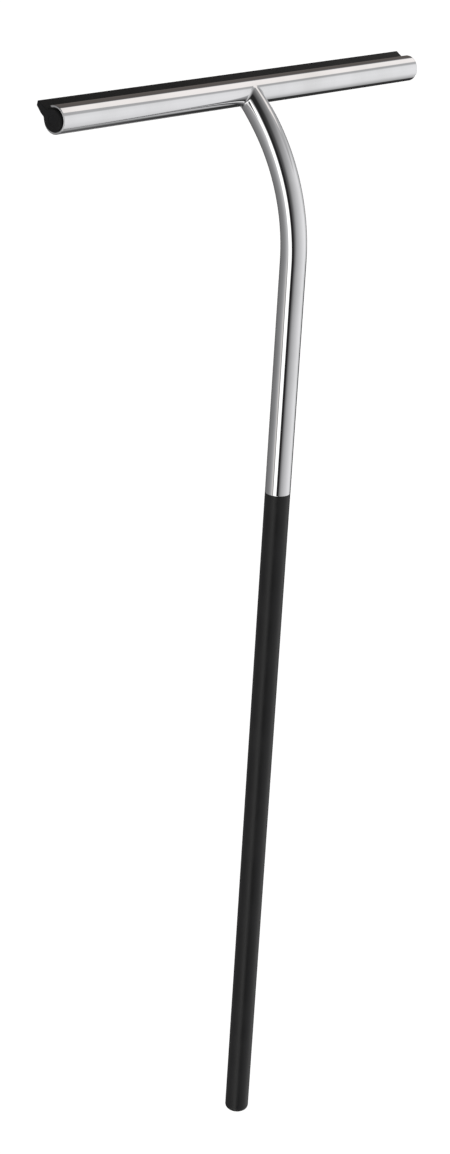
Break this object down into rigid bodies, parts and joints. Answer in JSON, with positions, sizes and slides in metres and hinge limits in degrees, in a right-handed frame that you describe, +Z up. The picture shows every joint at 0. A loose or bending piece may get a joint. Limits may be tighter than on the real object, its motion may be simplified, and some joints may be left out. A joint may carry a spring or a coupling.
{
  "type": "window squeegee",
  "caption": "Window squeegee: a slotted chrome head tube holds a sliding silicone blade, on a bent chrome neck with a long slim black grip.",
  "frame": {"origin": "middle of the head tube, on its axis, where a wall hook cradles it", "axes": "+X along the head tube, +Y towards the side the lip wipes, +Z up with the straight handle hanging down"},
  "size_m": [0.2424, 0.048, 0.5321],
  "materials": {
    "chrome_plate": "polished chrome plate",
    "black_silicone": "satin extruded silicone",
    "grip_silicone": "satin extruded silicone",
    "black_nylon": "moulded, satin",
    "turned_brass": "turned",
    "drawn_steel": "drawn tube"
  },
  "bodies": {
    "handle": {"head_tube": "chrome_plate", "neck_tube": "chrome_plate", "neck_plug": "turned_brass", "core_tube": "drawn_steel", "grip_sleeve": "grip_silicone", "end_plug": "black_nylon"},
    "blade": {"wiper_blade": "black_silicone", "bead_plug_left": "black_silicone", "bead_plug_right": "black_silicone"}
  },
  "joints": [
    {"name": "blade_slide", "type": "slide", "parent": "handle", "child": "blade", "axis": [-1, 0, 0], "range_m": [-0.236, 0.236]}
  ]
}
